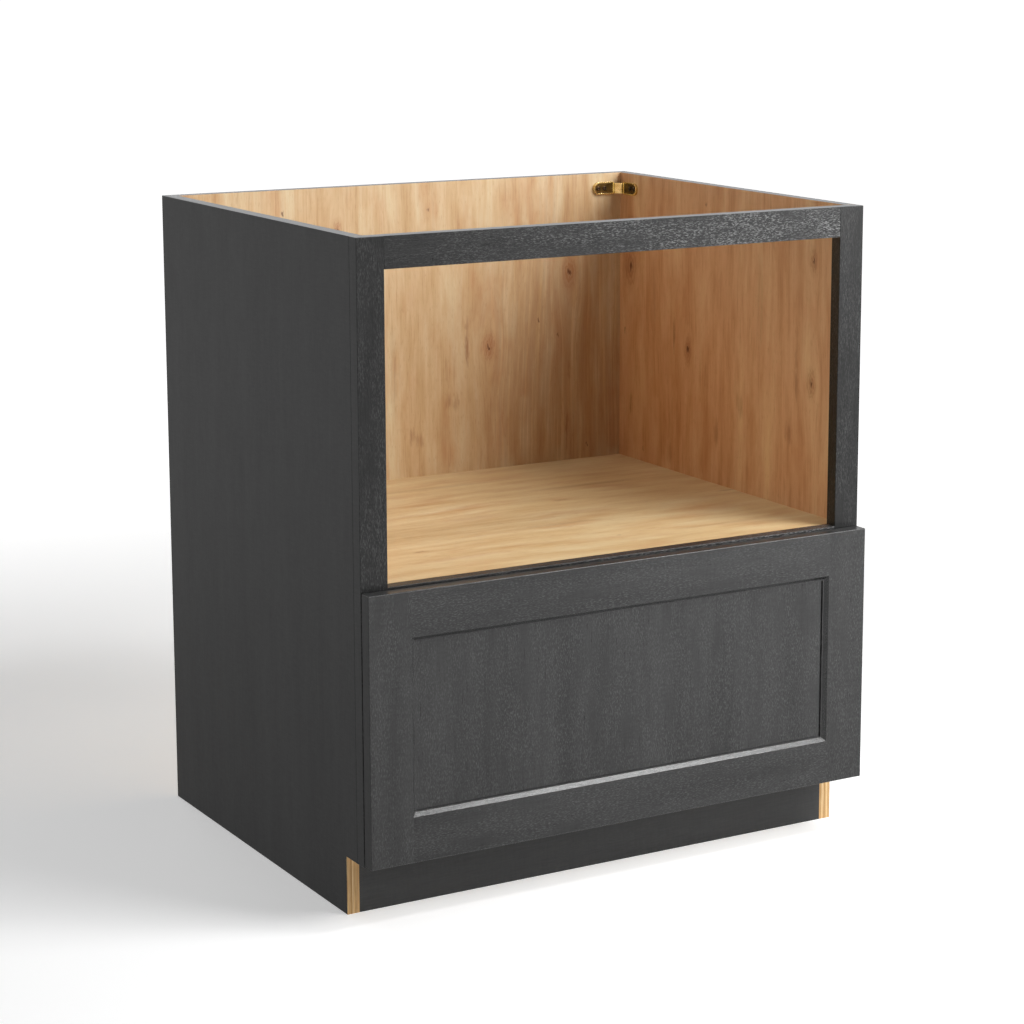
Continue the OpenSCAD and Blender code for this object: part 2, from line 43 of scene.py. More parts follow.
# Places that the frame was built to
sideOuter = 0.381
sideInner = 0.363        # inside face of a side panel, from the middle
railHalf = 0.3429        # half length of the frame's rails between the stiles
frameFrontY = -0.2948    # face frame
frameBackY = -0.2758
backPanelY = 0.2968      # inside face of the back panel
nicheFloorZ = 0.4375
rimZ = 0.8763
near = 0.1 * mm          # two places closer than this are the same


def toLinear(code):
    # sRGB hex to the linear colour that a socket takes
    channels = [int(code[i:i + 2], 16) / 255 for i in (1, 3, 5)]
    return [c / 12.92 if c <= 0.04045 else ((c + 0.055) / 1.055) ** 2.4 for c in channels] + [1.0]


def addNode(tree, kind, settings=None, links=None):
    # one shader node: its properties and socket values, then what feeds its sockets
    node = tree.nodes.new("ShaderNode" + kind)
    for key, value in (settings or {}).items():
        if key == "stops":
            stops = node.color_ramp.elements
            while len(stops) < len(value):
                stops.new(1.0)
            for stop, (place, tone) in zip(stops, value):
                stop.position, stop.color = place, toLinear(tone)
        elif isinstance(key, str) and hasattr(node, key):
            setattr(node, key, value)
        else:
            node.inputs[key].default_value = value
    for key, source in (links or {}).items():
        tree.links.new(source, node.inputs[key])
    return node


# The photograph's viewpoint: long lens, to the left of the cabinet and looking a little down
cameraSettings = {
    "place": (-1.8153, -3.2036, 1.2427),
    "pitchDown": 10.466,
    "turnRight": 30.52,
    "lens": 94.617,
    "sensor": 36,
    "shift": (-0.04288, -0.08398),
    "farthest": 300,
}
bpy.ops.object.camera_add(
    location=cameraSettings["place"],
    rotation=(math.radians(90 - cameraSettings["pitchDown"]), 0, math.radians(-cameraSettings["turnRight"])))
camera = bpy.context.object
camera.name = "photoCamera"
camera.data.sensor_width = cameraSettings["sensor"]
camera.data.lens = cameraSettings["lens"]
camera.data.shift_x, camera.data.shift_y = cameraSettings["shift"]
camera.data.clip_end = cameraSettings["farthest"]
bpy.context.scene.camera = camera
bpy.context.scene.view_settings.view_transform = "Standard"
print("camera placed")


# White studio: softboxes to the right of the front, weak ones to the left, overhead and behind, a
# narrow one close to the back panel, and a strip that lights up the slope under the drawer's panel
studioSettings = {
    "aim": (0.0, 0.0, 0.5),
    # turn to the right of the front, height angle, distance, width, power, and spread where it is narrow
    "softboxes": {
        "keySoftbox": (34, 30, 2.6, 1.3, 46),
        "lowSoftbox": (46, 13, 2.6, 1.2, 18),
        "leftSoftbox": (-64, 16, 2.6, 1.2, 6),
        "topSoftbox": (0, 86, 2.6, 1.2, 8),
        "backSoftbox": (205, 48, 2.6, 1.2, 9),
        "wallSoftbox": (178, 1, 1.6, 0.8, 1.6, 56),
    },
    # place, tilt about X, length and width, power
    "stripLight": ((1.41, -1.17, 2.38), 21, (1.15, 0.28), 27),
    "fillLevel": 0.08,        # world light on diffuse surfaces
    "floorWhite": "#ededed",
    "floorGlow": 0.35,        # what the eye sees beside the lit paper, near the cabinet
    "glowReach": (0.9, 3.2),  # metres from the middle over which it rises to white
    "floorSize": 240,
}


def addSoftbox(name, turn, height, distance, size, power, spread=180):
    turn, height = math.radians(turn), math.radians(height)
    away = Vector((math.sin(turn) * math.cos(height), -math.cos(turn) * math.cos(height), math.sin(height)))
    bpy.ops.object.light_add(type="AREA", location=Vector(studioSettings["aim"]) + away * distance,
                             rotation=(-away).to_track_quat("-Z", "Y").to_euler())
    softbox = bpy.context.object
    softbox.name = name
    softbox.data.shape = "DISK"
    softbox.data.size = size
    softbox.data.energy = power
    softbox.data.spread = math.radians(spread)


for softboxName, softboxPlace in studioSettings["softboxes"].items():
    addSoftbox(softboxName, *softboxPlace)
stripPlace, stripTilt, stripSize, stripPower = studioSettings["stripLight"]
bpy.ops.object.light_add(type="AREA", location=stripPlace, rotation=(math.radians(stripTilt), 0, 0))
strip = bpy.context.object
strip.name = "stripLight"
strip.data.shape = "RECTANGLE"
strip.data.size, strip.data.size_y = stripSize
strip.data.energy = stripPower


def seenByEye(tree):
    # 1 on camera, glossy and transmission rays, 0 on the rays that light diffuse surfaces
    rays = addNode(tree, "LightPath")
    seen = addNode(tree, "Math", {"operation": "MAXIMUM"},
                   {0: rays.outputs["Is Camera Ray"], 1: rays.outputs["Is Glossy Ray"]})
    return addNode(tree, "Math", {"operation": "MAXIMUM"},
                   {0: seen.outputs[0], 1: rays.outputs["Is Transmission Ray"]}).outputs[0]


world = bpy.data.worlds.new("whiteStudio")
bpy.context.scene.world = world
world.use_nodes = True
tree = world.node_tree
tree.nodes.clear()
level = addNode(tree, "MapRange", {"To Min": studioSettings["fillLevel"], "To Max": 1.0},
                {"Value": seenByEye(tree)})
backdrop = addNode(tree, "Background", {"Color": toLinear("#ffffff")}, {"Strength": level.outputs[0]})
addNode(tree, "OutputWorld", links={"Surface": backdrop.outputs[0]})

bpy.ops.mesh.primitive_plane_add(size=studioSettings["floorSize"])
floor = bpy.context.object
floor.name = "studioFloor"
whitePaper = bpy.data.materials.new("whitePaper")
whitePaper.use_nodes = True
tree = whitePaper.node_tree
tree.nodes.clear()
paper = addNode(tree, "BsdfDiffuse", {"Color": toLinear(studioSettings["floorWhite"])})
place = addNode(tree, "TexCoord")
fromMiddle = addNode(tree, "VectorMath", {"operation": "LENGTH"}, {0: place.outputs["Object"]})
nearEnd, farEnd = studioSettings["glowReach"]
rise = addNode(tree, "MapRange", {"From Min": nearEnd, "From Max": farEnd, "To Max": 1.0,
                                  "To Min": studioSettings["floorGlow"], "interpolation_type": "SMOOTHSTEP"},
               {"Value": fromMiddle.outputs["Value"]})
glowLevel = addNode(tree, "Math", {"operation": "MULTIPLY"}, {0: seenByEye(tree), 1: rise.outputs[0]})
glow = addNode(tree, "Emission", {"Color": toLinear("#ffffff")}, {"Strength": glowLevel.outputs[0]})
glowingPaper = addNode(tree, "AddShader", links={0: paper.outputs[0], 1: glow.outputs[0]})
addNode(tree, "OutputMaterial", links={"Surface": glowingPaper.outputs[0]})
floor.data.materials.append(whitePaper)
print("studio ready")


def newFinish(name, settings=None):
    # an empty material with its principled shader
    finish = bpy.data.materials.new(name)
    finish.use_nodes = True
    finish.node_tree.nodes.clear()
    shader = addNode(finish.node_tree, "BsdfPrincipled", settings)
    addNode(finish.node_tree, "OutputMaterial", links={"Surface": shader.outputs[0]})
    return finish, finish.node_tree, shader


def feed(tree, shader, **sources):
    for socket, source in sources.items():
        tree.links.new(source, shader.inputs[socket.replace("_", " ")])


def stretched(tree, source, grain, width, length, detail, roughness=0.5):
    # noise drawn out along one axis, for streaks of this width and length in millimetres
    scale = [1000 / (length if axis == grain else width) for axis in "XYZ"]
    place = addNode(tree, "Mapping", {"Scale": scale}, {"Vector": source})
    return addNode(tree, "TexNoise", {"Scale": 1.0, "Detail": detail, "Roughness": roughness},
                   {"Vector": place.outputs[0]}).outputs[0]


def weighed(tree, parts):
    # adds up noises round their middle of 0.5, each by its own weight
    total = 0.5 - 0.5 * sum(weight for source, weight in parts)
    for source, weight in parts:
        step = addNode(tree, "Math", {"operation": "MULTIPLY_ADD", 1: weight}, {0: source})
        if isinstance(total, float):
            step.inputs[2].default_value = total
        else:
            tree.links.new(total, step.inputs[2])
        total = step.outputs[0]
    return total


def masked(tree, *ramps):
    # a mask from one source, or the product of several: each is 0 up to its low value and rises softly
    # to its strength at its high one
    mask = None
    for source, low, high, strength in ramps:
        ramp = addNode(tree, "MapRange", {"From Min": low, "From Max": high, "To Max": strength,
                                          "interpolation_type": "SMOOTHSTEP"}, {"Value": source}).outputs[0]
        mask = ramp if mask is None else addNode(
            tree, "Math", {"operation": "MULTIPLY"}, {0: mask, 1: ramp}).outputs[0]
    return mask


def overlaid(tree, colour, *layers):
    # lays tones over a colour one after another, each as far as its mask goes
    for mask, tone in layers:
        mixed = addNode(tree, "Mix", {"data_type": "RGBA", 7: toLinear(tone)}, {0: mask, 6: colour})
        colour = mixed.outputs[2]
    return colour


# Charcoal stain under satin lacquer, one look for each kind of board
stainSettings = {
    # tones of the grain, its fleck and how strong it is, weights of bands, streaks and cross curl,
    # pore width and length in mm, their relief in mm, specular level, roughness
    "side": {"tones": ("#0a0a0a", "#2b2b2b"), "fleck": ("#424242", 0.18), "weights": (0.6, 0.6, 0.45),
             "pores": (1.0, 8.0), "relief": 0.05, "level": 0.37, "roughness": (0.54, 0.64)},
    "stile": {"tones": ("#040404", "#202020"), "fleck": ("#707070", 0.28), "weights": (0.6, 1.0, 0.3),
              "pores": (0.8, 4.0), "relief": 0.45, "level": 0.34, "roughness": (0.28, 0.38)},
    "rail": {"tones": ("#040404", "#1e1e1e"), "fleck": ("#888888", 0.46), "weights": (0.5, 1.0, 0.3),
             "pores": (0.8, 3.4), "relief": 0.6, "level": 0.36, "roughness": (0.26, 0.36),
             # painted highlight: more pale flecks towards the rails' right end, standing in for the light's
             # glints there
             "paintedHighlight": (-0.38, 0.34, 0.12, 2.0)},   # x from and to, share of the flecks at each
    "drawer": {"tones": ("#0c0c0c", "#313131"), "fleck": ("#707070", 0.28), "weights": (0.9, 0.6, 0.4),
               "pores": (1.0, 4.0), "relief": 0.2, "level": 0.5, "roughness": (0.27, 0.35)},
    "slope": {"tones": ("#101010", "#383838"), "fleck": ("#6e6e6e", 0.24), "weights": (0.5, 0.8, 0.2),
              "pores": (1.0, 1.8), "relief": 0.3, "level": 0.5, "roughness": (0.15, 0.21)},
    # rims: paler tones and flecks, a painted sheen standing in for the glare that top edges catch at a
    # grazing view
    "rim": {"tones": ("#2a2b2d", "#55575a"), "fleck": ("#8a8a8a", 0.30), "weights": (0.5, 0.9, 0.2),
            "pores": (1.0, 3.0), "relief": 0.2, "level": 0.5, "roughness": (0.28, 0.36)},
    "toe": {"tones": ("#161616", "#3e3e3e"), "fleck": ("#505050", 0.12), "weights": (0.5, 0.6, 0.2),
            "pores": (1.0, 6.0), "relief": 0.06, "level": 0.5, "roughness": (0.44, 0.56)},
}
stainGrain = {
    # width across and length along the grain in mm, detail, roughness of the noise
    "bands": (40, 420, 2.0),
    "streaks": (2.1, 36, 4.0, 0.65),
    "curl": (18, 2.6, 2.0),
    "patches": (24, 90, 2.0),
}
noiseSpan = {"From Min": 0.3, "From Max": 0.7}   # most of a noise lies between these


def stainedMaple(name, grain, board):
    # soft grey bands and streaks along the grain, faint curl across it, fine pale flecks, a dull sheen
    look = stainSettings[board]
    finish, tree, shader = newFinish(name, {"IOR": 1.42, "Specular IOR Level": look["level"]})
    place = addNode(tree, "TexCoord").outputs["Object"]
    bands, streaks, curl, patches = (stretched(tree, place, grain, *size) for size in stainGrain.values())
    # open pores are about 0.3 mm wide; drawn at 0.8 to 1 mm so that they show
    pores = stretched(tree, place, grain, *look["pores"], 2.0, 0.6)
    tone = weighed(tree, list(zip((bands, streaks, curl), look["weights"])))
    stops = list(zip((0.12, 0.88), look["tones"]))
    colour = addNode(tree, "ValToRGB", {"stops": stops}, {0: tone}).outputs[0]
    fleckTone, fleckShare = look["fleck"]
    flecks = masked(tree, (pores, 0.47, 0.69, fleckShare), (patches, 0.2, 0.6, 1.0))
    if "paintedHighlight" in look:
        # painted highlight: the long top rail gets more pale flecks towards its right end, standing in for
        # the glints of the light there
        start, end, startShare, endShare = look["paintedHighlight"]
        along = addNode(tree, "SeparateXYZ", links={0: place}).outputs["X"]
        share = addNode(tree, "MapRange", {"From Min": start, "From Max": end, "To Min": startShare,
                                           "To Max": endShare}, {"Value": along}).outputs[0]
        flecks = addNode(tree, "Math", {"operation": "MULTIPLY"}, {0: flecks, 1: share}).outputs[0]
    colour = overlaid(tree, colour, (flecks, fleckTone))
    smoothest, dullest = look["roughness"]
    rough = addNode(tree, "MapRange", {**noiseSpan, "To Min": smoothest, "To Max": dullest},
                    {"Value": streaks}).outputs[0]
    height = weighed(tree, [(streaks, 0.5), (pores, 0.5)])
    bump = addNode(tree, "Bump", {"Strength": 0.8, "Distance": look["relief"] * mm}, {"Height": height})
    feed(tree, shader, Base_Color=colour, Roughness=rough, Normal=bump.outputs[0])
    return finish


# Clear-coated maple veneer. Marks are in mm on the board: knots (across, along, size),
# smudges and painted shade (across, along, half width, half length, strength)
veneerSettings = {
    "back": {
        "tones": ("#bb9566", "#cfb289", "#dccda9"), "streaks": 0.7,
        "knots": [(131, 624, 1.0), (272, 728, 1.25), (-118, 812, 0.7), (-262, 560, 0.9), (-40, 250, 1.0)],
        "pins": [(218, 659), (252, 633), (304, 460), (-72, 725), (-205, 842), (30, 838)],
        "smudgesAndShade": [(94, 627, 4, 28, 0.7), (94, 660, 3, 14, 0.5), (62, 546, 7, 13, 0.5),
                    (75, 543, 6, 14, 0.45), (0, 499, 5, 11, 0.5), (12, 493, 7, 10, 0.4),
                    (268, 484, 3, 48, 0.75), (276, 470, 2.6, 30, 0.6), (271, 577, 4, 26, 0.6),
                    (266, 668, 9, 50, 0.4), (150, 520, 9, 40, 0.25), (268, 835, 9, 30, 0.35),
                    # the last, wide and faint over the lower right, is painted shade where the back board
                    # lies in shadow
                    (-30, 590, 6, 60, 0.3), (-130, 470, 8, 40, 0.35), (280, 540, 180, 320, 0.42)],
    },
    "rightSide": {
        "tones": ("#be8b60", "#d4a87f", "#e2c497"), "streaks": 0.8,
        "knots": [(105, 627, 0.95), (-207, 621, 1.0), (-209, 792, 0.8), (266, 735, 1.5), (40, 300, 1.0)],
        "pins": [(282, 633), (228, 456), (60, 848), (-120, 240)],
        "smudgesAndShade": [(143, 645, 3.5, 24, 0.6), (-171, 614, 4.5, 20, 0.55), (-170, 650, 3, 16, 0.4),
                    (-34, 561, 6, 17, 0.5), (-26, 568, 4, 15, 0.4), (-154, 543, 9, 17, 0.5),
                    (28, 514, 6, 19, 0.5), (263, 523, 4, 16, 0.5), (152, 462, 8, 16, 0.3),
                    (200, 690, 8, 60, 0.25), (-80, 720, 9, 70, 0.25), (-110, 825, 4, 26, 0.4)],
    },
    "floor": {
        "tones": ("#c5a06d", "#d6bb8c", "#e0cea7"), "streaks": 0.45,
        "knots": [(-60, -290, 0.7)],
        "pins": [(120, -240), (-190, 60)],
        "smudgesAndShade": [(305, 186, 4, 20, 0.5), (300, 330, 5, 24, 0.4), (-18, 352, 5, 18, 0.55),
                    (-143, -218, 4, 11, 0.5), (45, 107, 4, 13, 0.45), (-90, 20, 7, 70, 0.3),
                    (120, 200, 8, 90, 0.3), (210, -20, 8, 110, 0.25), (-200, 230, 6, 80, 0.25)],
    },
}


def scatteredMarks(seed, across, along):
    # marks for the boards that the photograph doesn't show, spread over half widths in mm
    dice = random.Random(seed)

    def spot():
        return dice.uniform(-across, across), dice.uniform(*along)

    return {
        "knots": [(*spot(), dice.uniform(0.7, 1.3)) for n in range(5)],
        "pins": [spot() for n in range(6)],
        "smudgesAndShade": [(*spot(), dice.uniform(3, 9), dice.uniform(12, 60), dice.uniform(0.25, 0.6))
                    for n in range(12)],
    }


veneerSettings["leftSide"] = {"tones": veneerSettings["rightSide"]["tones"], "streaks": 0.8,
                              **scatteredMarks(4, 270, (40, 860))}
veneerSettings["boxFloor"] = {"tones": ("#cfa877", "#e0c096", "#ead0a9"), "streaks": 0.5,
                              **scatteredMarks(9, 250, (-320, 320))}
grainTones = {"line": "#a06c40", "smudgeAndShade": "#8a532c", "halo": "#9c5f36", "knot": "#5a2e16",
              "blush": "#b87e50"}
veneerGrain = {
    # width across and length along the grain in mm, detail, roughness of the noise
    "bands": (46, 1500, 3.0, 0.6),
    "lines": (5, 260, 4.0, 0.65),
    "clouds": (24, 150, 4.0, 0.6),
    "hairs": (1.8, 70, 3.0),
    "dashes": (1.5, 12, 3.0),
    "shadows": (8, 60, 4.0, 0.7),
    "blushes": (42, 150, 4.0, 0.6),
}
knotSettings = {
    # sizes in mm, across and along the grain, for a knot of size 1
    "core": (3.4, 6.4),
    "pin": (2.0, 3.6),
    "rings": 5.2,                    # radians of ring from one core size to the next
    "ringLevels": (0.45, 1.0),
    "bendSize": (24, 66),            # how far out the grain gives way
    "push": 17,                      # and by how much
    "wanderSize": (190, 620),        # waves in which the grain wanders on its own
    "wander": 44,
    "raggedSize": (2.6, 13),         # waves in the edges of the marks
    "ragged": (8, 24),
    # where each mark starts and where it is full, in its own sizes from its middle, and its strength
    "bendFade": (1.5, 0.1),
    "coreFade": (1.15, 0.2, 0.9),
    "haloFade": (5.0, 0.8, 0.68),
    "pinFade": (1.2, 0.2, 0.75),
    "smudgeAndShadeFade": (1.5, 0.2),
}


def naturalMaple(name, board, across, along, shine=0.42):
    # pale bands and fine lines that bend round dark knots with brown halos; smudges and pin knots between,
    # and on the back board a wide patch of painted shade
    marks = veneerSettings[board]
    finish, tree, shader = newFinish(name, {"IOR": 1.5})
    axes = addNode(tree, "SeparateXYZ", links={0: addNode(tree, "TexCoord").outputs["Object"]})
    flat = addNode(tree, "CombineXYZ", links={0: axes.outputs[across], 1: axes.outputs[along]})
    flat = addNode(tree, "VectorMath", {"operation": "MULTIPLY", 1: (1000, 1000, 0)},
                   {0: flat.outputs[0]}).outputs[0]

    def printed(source, width, length, detail, roughness=0.5):
        # noise in the board's plane, of this width and length in millimetres
        scaled = addNode(tree, "VectorMath", {"operation": "MULTIPLY", 1: (1 / width, 1 / length, 0)},
                         {0: source})
        return addNode(tree, "TexNoise", {"Scale": 1.0, "Detail": detail, "Roughness": roughness},
                       {"Vector": scaled.outputs[0]})

    def oval(source, spot, size, factor=1.0):
        # place in half widths and half lengths from a spot, and its distance
        width, length = size[0] * factor, size[1] * factor
        away = addNode(tree, "VectorMath", {"operation": "MULTIPLY_ADD", 1: (1 / width, 1 / length, 0),
                                            2: (-spot[0] / width, -spot[1] / length, 0)},
                       {0: source}).outputs[0]
        return away, addNode(tree, "VectorMath", {"operation": "LENGTH"}, {0: away}).outputs["Value"]

    def highest(sources):
        top = sources[0]
        for source in sources[1:]:
            top = addNode(tree, "Math", {"operation": "MAXIMUM"}, {0: top, 1: source}).outputs[0]
        return top

    # marks get ragged edges from a fine wobble of the place
    raggedAcross, raggedAlong = knotSettings["ragged"]
    wobble = printed(flat, *knotSettings["raggedSize"], 2.0).outputs["Color"]
    ragged = addNode(tree, "VectorMath", {"operation": "MULTIPLY_ADD", 1: (raggedAcross, raggedAlong, 0),
                                          2: (-raggedAcross / 2, -raggedAlong / 2, 0)}, {0: wobble})
    ragged = addNode(tree, "VectorMath", {"operation": "ADD"}, {0: ragged.outputs[0], 1: flat}).outputs[0]

    # the grain wanders slowly and spreads round each knot
    wander = knotSettings["wander"]
    bend = addNode(tree, "Math", {"operation": "MULTIPLY_ADD", 1: wander, 2: -wander / 2},
                   {0: printed(flat, *knotSettings["wanderSize"], 1.0).outputs[0]}).outputs[0]
    halos, cores = [], []
    for knotAcross, knotAlong, size in marks["knots"]:
        spot = (knotAcross, knotAlong)
        away, distance = oval(flat, spot, knotSettings["bendSize"], size)
        sideways = addNode(tree, "SeparateXYZ", links={0: away}).outputs[0]
        push = masked(tree, (distance, *knotSettings["bendFade"], -knotSettings["push"] * size))
        push = addNode(tree, "Math", {"operation": "MULTIPLY"}, {0: push, 1: sideways}).outputs[0]
        bend = addNode(tree, "Math", {"operation": "ADD"}, {0: bend, 1: push}).outputs[0]
        distance = oval(ragged, spot, knotSettings["core"], size)[1]
        cores.append(masked(tree, (distance, *knotSettings["coreFade"])))
        rings = addNode(tree, "Math", {"operation": "MULTIPLY", 1: knotSettings["rings"]}, {0: distance})
        rings = addNode(tree, "Math", {"operation": "SINE"}, {0: rings.outputs[0]})
        faintest, strongest = knotSettings["ringLevels"]
        rings = addNode(tree, "MapRange", {"From Min": -1.0, "From Max": 1.0, "To Min": faintest,
                                           "To Max": strongest}, {"Value": rings.outputs[0]})
        halo = addNode(tree, "Math", {"operation": "MULTIPLY"},
                       {0: masked(tree, (distance, *knotSettings["haloFade"])), 1: rings.outputs[0]})
        halos.append(halo.outputs[0])
    for spot in marks["pins"]:
        cores.append(masked(tree, (oval(ragged, spot, knotSettings["pin"])[1], *knotSettings["pinFade"])))
    smudgesAndShade = [masked(tree, (oval(ragged, mark[:2], mark[2:4])[1], *knotSettings["smudgeAndShadeFade"], mark[4]))
               for mark in marks["smudgesAndShade"]]
    bend = addNode(tree, "CombineXYZ", links={0: bend})
    bent = addNode(tree, "VectorMath", {"operation": "ADD"}, {0: flat, 1: bend.outputs[0]}).outputs[0]

    bands, lines, clouds, hairs, dashes, shadows, blushes = (
        printed(bent, *size).outputs[0] for size in veneerGrain.values())
    depth = marks["streaks"]
    tone = weighed(tree, [(bands, 1.1 * depth), (clouds, 0.9), (lines, 0.6 * depth)])
    stops = list(zip((0.2, 0.5, 0.8), marks["tones"]))
    colour = addNode(tree, "ValToRGB", {"stops": stops}, {0: tone}).outputs[0]
    # the smudges, with the back board's painted shade among them, show only where the lines allow
    smudgedAndShaded = addNode(tree, "Math", {"operation": "MULTIPLY"},
                      {0: highest(smudgesAndShade), 1: masked(tree, (lines, 0.3, 0.56, 1.0))}).outputs[0]
    # masks: where a noise starts to show, where it is full and how strongly, and the tone it brings
    layers = [
        (masked(tree, (blushes, 0.48, 0.7, 0.36)), "blush"),
        (masked(tree, (lines, 0.54, 0.76, 0.24 * depth)), "line"),
        (masked(tree, (hairs, 0.5, 0.72, 0.55 * depth), (clouds, 0.62, 0.36, 1.0)), "line"),
        (masked(tree, (dashes, 0.56, 0.76, 0.34)), "line"),
        (masked(tree, (shadows, 0.58, 0.8, 0.4 * depth)), "line"),
        (smudgedAndShaded, "smudgeAndShade"),
        (highest(halos), "halo"),
        (highest(cores), "knot"),
    ]
    colour = overlaid(tree, colour, *((mask, grainTones[toneName]) for mask, toneName in layers))
    rough = addNode(tree, "MapRange", {**noiseSpan, "To Min": shine - 0.05, "To Max": shine + 0.07},
                    {"Value": lines}).outputs[0]
    bump = addNode(tree, "Bump", {"Strength": 0.35, "Distance": 0.08 * mm}, {"Height": lines})
    feed(tree, shader, Base_Color=colour, Roughness=rough, Normal=bump.outputs[0])
    return finish


plySettings = {
    "ply": 2.0,                # thickness of one ply in mm
    "wave": 0.35,              # how far its edges waver, in plies
    "glueFrom": (0.76, 0.9),   # part of a ply at which its glue line starts and is full
    "glue": "#7d5229",
    "tones": ("#b98a52", "#e2c08a", "#cda068", "#efd7a6"),
}


def plyEdge(name, layerAxis, runAxis, start):
    # raw edge of plywood: crossed plies in turn pale and brown, with thin dark glue lines
    finish, tree, shader = newFinish(name, {"Roughness": 0.7})
    place = addNode(tree, "TexCoord").outputs["Object"]
    axes = addNode(tree, "SeparateXYZ", links={0: place})
    perMetre = 1000 / plySettings["ply"]
    layer = addNode(tree, "Math", {"operation": "MULTIPLY_ADD", 1: perMetre, 2: -start * perMetre},
                    {0: axes.outputs[layerAxis]})
    wobble = stretched(tree, place, runAxis, 6, 60, 1.0)
    layer = addNode(tree, "Math", {"operation": "MULTIPLY_ADD", 1: plySettings["wave"]},
                    {0: wobble, 2: layer.outputs[0]})
    whole = addNode(tree, "Math", {"operation": "FLOOR"}, {0: layer.outputs[0]})
    part = addNode(tree, "Math", {"operation": "FRACT"}, {0: layer.outputs[0]})
    chance = addNode(tree, "TexWhiteNoise", {"noise_dimensions": "1D"}, {"W": whole.outputs[0]})
    fibres = stretched(tree, place, runAxis, 0.8, 22, 3.0)
    mixed = weighed(tree, [(chance.outputs["Value"], 0.7), (fibres, 0.6)])
    colour = addNode(tree, "ValToRGB", {"stops": list(zip((0.2, 0.42, 0.62, 0.82), plySettings["tones"]))},
                     {0: mixed}).outputs[0]
    glueLine = masked(tree, (part.outputs[0], *plySettings["glueFrom"], 0.7))
    colour = overlaid(tree, colour, (glueLine, plySettings["glue"]))
    bump = addNode(tree, "Bump", {"Strength": 0.6, "Distance": 0.15 * mm}, {"Height": fibres})
    feed(tree, shader, Base_Color=colour, Normal=bump.outputs[0])
    return finish


birchSettings = {
    "face": ("#c9a878", "#dcc19a", "#e8d4b2"),
    "end": ("#a97f4e", "#c2996a", "#cfa97a"),
    "fleck": "#a47a4c",
}


def paleBirch(name, grain, endGrain=False):
    # clear-coated solid birch of the drawer box: even cream with short flecks, darker where it is end grain
    finish, tree, shader = newFinish(name, {"IOR": 1.5})
    place = addNode(tree, "TexCoord").outputs["Object"]
    streaks = stretched(tree, place, grain, 5.0, 140, 4.0, 0.6)
    flecks = stretched(tree, place, grain, 1.1, 1.3 if endGrain else 7, 2.0)
    tones = birchSettings["end" if endGrain else "face"]
    colour = addNode(tree, "ValToRGB", {"stops": list(zip((0.3, 0.5, 0.7), tones))}, {0: streaks}).outputs[0]
    colour = overlaid(tree, colour, (masked(tree, (flecks, 0.58, 0.74, 0.3)), birchSettings["fleck"]))
    bump = addNode(tree, "Bump", {"Strength": 0.4, "Distance": 0.08 * mm}, {"Height": flecks})
    rough = addNode(tree, "MapRange", {"To Min": 0.38, "To Max": 0.56}, {"Value": streaks}).outputs[0]
    feed(tree, shader, Base_Color=colour, Roughness=rough, Normal=bump.outputs[0])
    return finish


# Sizes in mm. The plastic's texture is really about 0.1 mm; it is drawn coarser so that it shows
metalSettings = {"cloud": 9, "dent": 1.4, "relief": 0.01}
plasticSettings = {"cloud": 14, "texture": 0.5, "relief": 0.02}


def platedMetal(name, tones, roughness):
    # pressed and plated steel: faint cloudy tone, small dents that break up the highlights
    finish, tree, shader = newFinish(name, {"Metallic": 1.0})
    place = addNode(tree, "TexCoord").outputs["Object"]
    clouds = addNode(tree, "TexNoise", {"Scale": 1000 / metalSettings["cloud"], "Detail": 3.0},
                     {"Vector": place}).outputs[0]
    dents = addNode(tree, "TexNoise", {"Scale": 1000 / metalSettings["dent"], "Detail": 3.0},
                    {"Vector": place}).outputs[0]
    colour = addNode(tree, "ValToRGB", {"stops": list(zip((0.35, 0.65), tones))}, {0: clouds}).outputs[0]
    rough = addNode(tree, "MapRange", {"To Min": roughness - 0.03, "To Max": roughness + 0.05},
                    {"Value": clouds})
    bump = addNode(tree, "Bump", {"Strength": 0.5, "Distance": metalSettings["relief"] * mm},
                   {"Height": dents})
    feed(tree, shader, Base_Color=colour, Roughness=rough.outputs[0], Normal=bump.outputs[0])
    return finish


def mouldedPlastic(name, tones, roughness, settings=None):
    # moulded plastic: even colour with a fine spark-eroded texture
    finish, tree, shader = newFinish(name, {"Roughness": roughness, "IOR": 1.5, **(settings or {})})
    place = addNode(tree, "TexCoord").outputs["Object"]
    clouds = addNode(tree, "TexNoise", {"Scale": 1000 / plasticSettings["cloud"], "Detail": 2.0},
                     {"Vector": place}).outputs[0]
    skin = addNode(tree, "TexNoise", {"Scale": 1000 / plasticSettings["texture"], "Detail": 2.0},
                   {"Vector": place}).outputs[0]
    colour = addNode(tree, "ValToRGB", {"stops": list(zip((0.3, 0.7), tones))}, {0: clouds}).outputs[0]
    bump = addNode(tree, "Bump", {"Strength": 0.4, "Distance": plasticSettings["relief"] * mm},
                   {"Height": skin})
    feed(tree, shader, Base_Color=colour, Normal=bump.outputs[0])
    return finish


